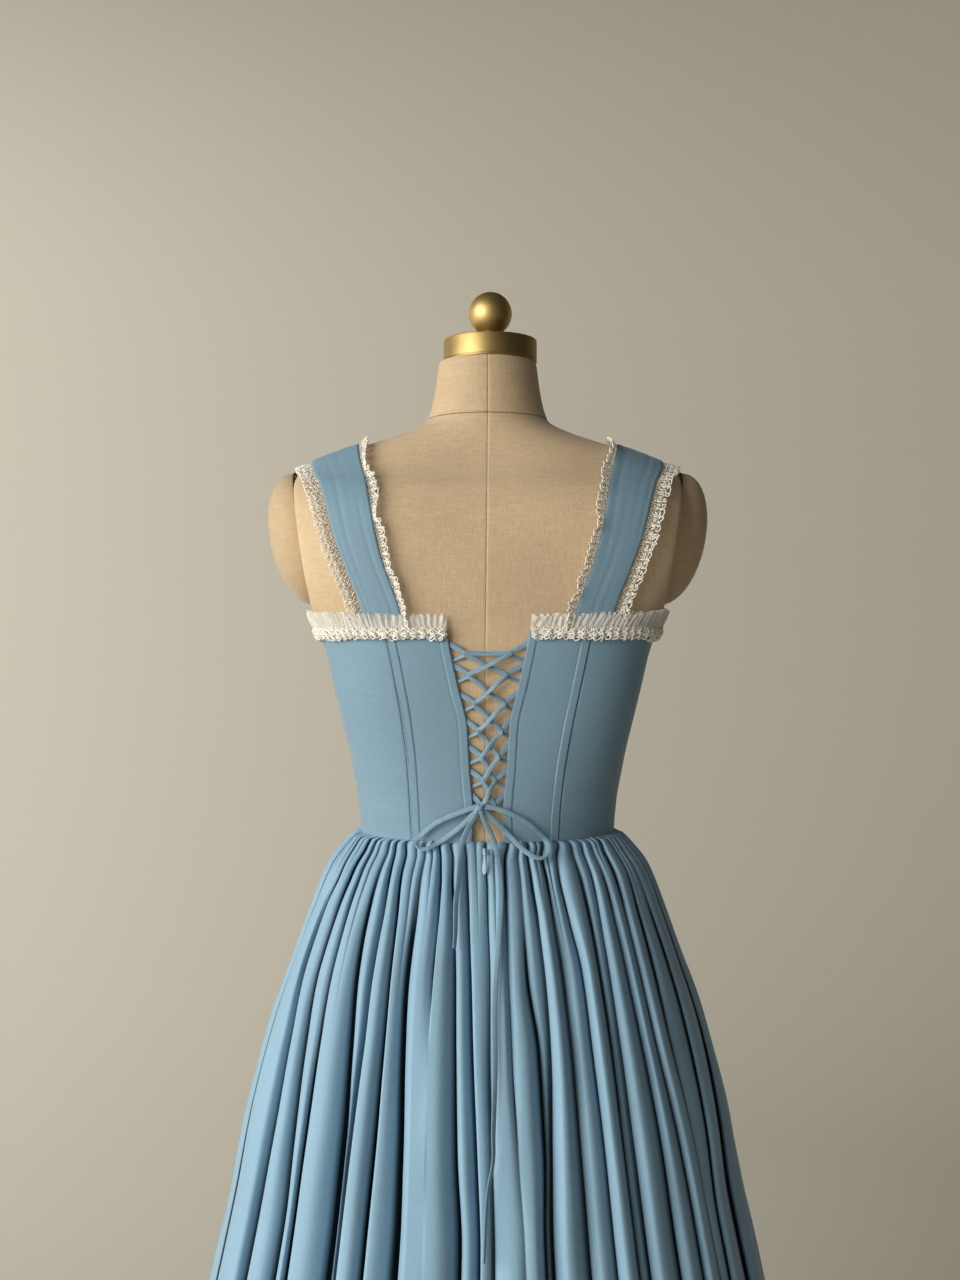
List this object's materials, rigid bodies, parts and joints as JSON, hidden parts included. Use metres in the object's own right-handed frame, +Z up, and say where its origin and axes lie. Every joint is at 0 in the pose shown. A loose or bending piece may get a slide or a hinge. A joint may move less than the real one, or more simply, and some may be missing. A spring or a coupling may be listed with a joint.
{
  "type": "midi dress on a dress form",
  "caption": "Corset-bodice midi dress with a laced open back, gathered full skirt, lace-edged shoulder straps and a bow, worn by a limbless canvas dress form on a round stand.",
  "frame": {"origin": "centre of the underside of the dress form's base, on the form's axis", "axes": "+Z up, +X to the wearer's right, so the laced back faces -Y and the front of the dress faces +Y"},
  "size_m": [0.6688, 0.6469, 1.5343],
  "materials": {
    "blue_bodice": "matte woven cloth with a soft sheen",
    "blue_skirt": "matte woven cloth with a soft sheen, gathered",
    "blue_lacing": "rouleau of the dress cloth",
    "lace": "cream scalloped lace",
    "tulle": "off-white tulle, gathered",
    "canvas": "plain tan canvas",
    "brass": "aged satin",
    "iron": "dark, satin",
    "enamel": "pale blue, gloss"
  },
  "bodies": {
    "dress_form": {"bodice_back_left": "blue_bodice", "bodice_back_right": "blue_bodice", "bodice_front": "blue_bodice", "bodice_side_left": "blue_bodice", "bodice_side_right": "blue_bodice", "bow": "blue_lacing", "form_base": "iron", "form_cap_left": "canvas", "form_cap_right": "canvas", "form_finial": "brass", "form_neck_ring": "brass", "form_pole": "brass", "form_torso": "canvas", "lace_edging": "lace", "lacing": "blue_lacing", "loop_tape_left": "blue_lacing", "loop_tape_right": "blue_lacing", "skirt_back_left": "blue_skirt", "skirt_back_right": "blue_skirt", "skirt_front": "blue_skirt", "strap_lace_left": "lace", "strap_lace_right": "lace", "strap_left": "blue_bodice", "strap_right": "blue_bodice", "tie_tail_left": "blue_lacing", "tie_tail_right": "blue_lacing", "tulle_frill": "tulle", "zip_slider": "enamel"},
    "pull": {"zip_pull": "enamel"}
  },
  "joints": [
    {"name": "zip_pull_hinge", "type": "hinge", "parent": "dress_form", "child": "pull", "pos_m": [-0.003, -0.09487, 1.03835], "axis": [-1, 0, 0], "range_deg": [0, 100]}
  ]
}
